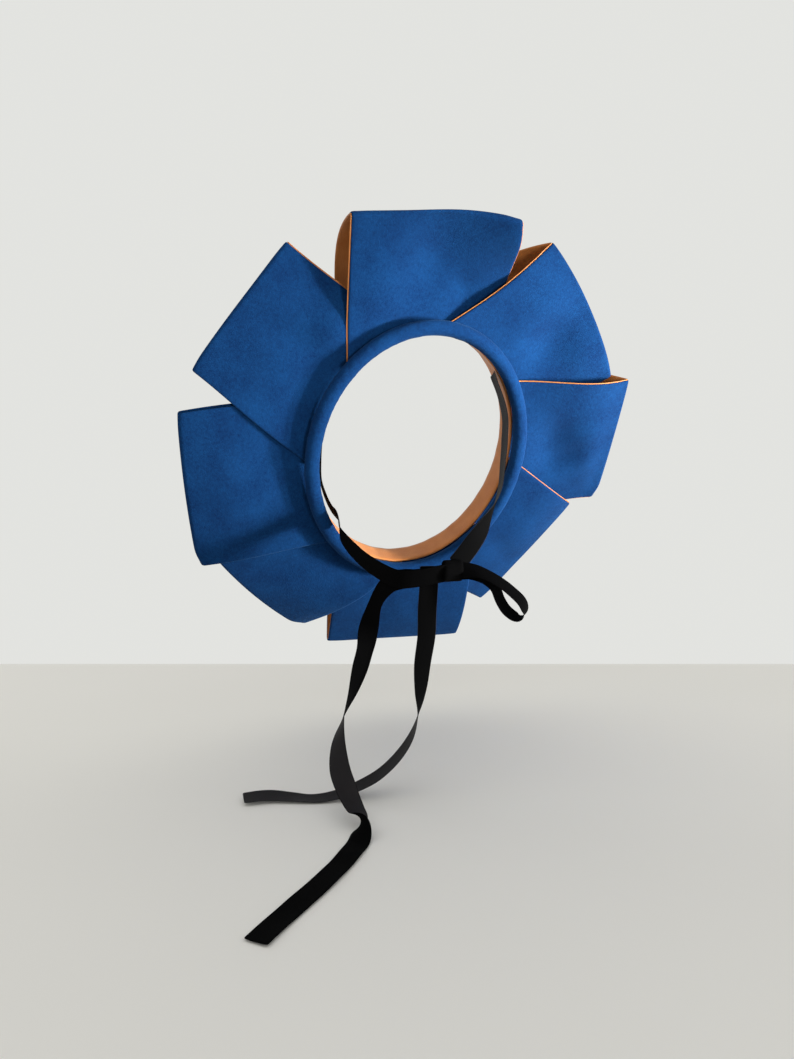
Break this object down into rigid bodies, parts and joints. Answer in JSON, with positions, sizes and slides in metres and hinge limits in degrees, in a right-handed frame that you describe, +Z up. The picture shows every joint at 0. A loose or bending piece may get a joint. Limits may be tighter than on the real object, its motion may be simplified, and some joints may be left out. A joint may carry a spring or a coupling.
{
  "type": "petal bonnet",
  "caption": "Felt bonnet: a padded oval ring frames the face, with wide lined felt loops fanned round it like petals and a satin ribbon tied under the chin",
  "frame": {"origin": "middle of the oval face opening, in the plane of the padded ring's centre line: where the hat sits on the head", "axes": "+X to the wearer's left, which is the viewer's right from the front; +Y to the back of the head; +Z up as worn, with the ring's top leaning forward by 20 degrees"},
  "size_m": [0.377, 0.3436, 0.4247],
  "materials": {
    "blue_felt": "soft wool felt with a short nap",
    "mustard_satin": "satin lining",
    "black_ribbon": "satin ribbon, matt on one side"
  },
  "bodies": {
    "root": {"face_ring": "blue_felt", "ring_lining": "mustard_satin", "petal_1": "blue_felt", "petal_2": "blue_felt", "petal_3": "blue_felt", "petal_4": "blue_felt", "petal_5": "blue_felt", "petal_6": "blue_felt", "petal_7": "blue_felt", "petal_8": "blue_felt", "petal_lining_1": "mustard_satin", "petal_lining_2": "mustard_satin", "petal_lining_3": "mustard_satin", "petal_lining_4": "mustard_satin", "petal_lining_5": "mustard_satin", "petal_lining_6": "mustard_satin", "petal_lining_7": "mustard_satin", "petal_lining_8": "mustard_satin", "strap_right": "black_ribbon", "strap_left": "black_ribbon", "bow_knot": "black_ribbon", "bow_loop": "black_ribbon", "tail_right": "black_ribbon", "tail_left": "black_ribbon"}
  },
  "joints": []
}
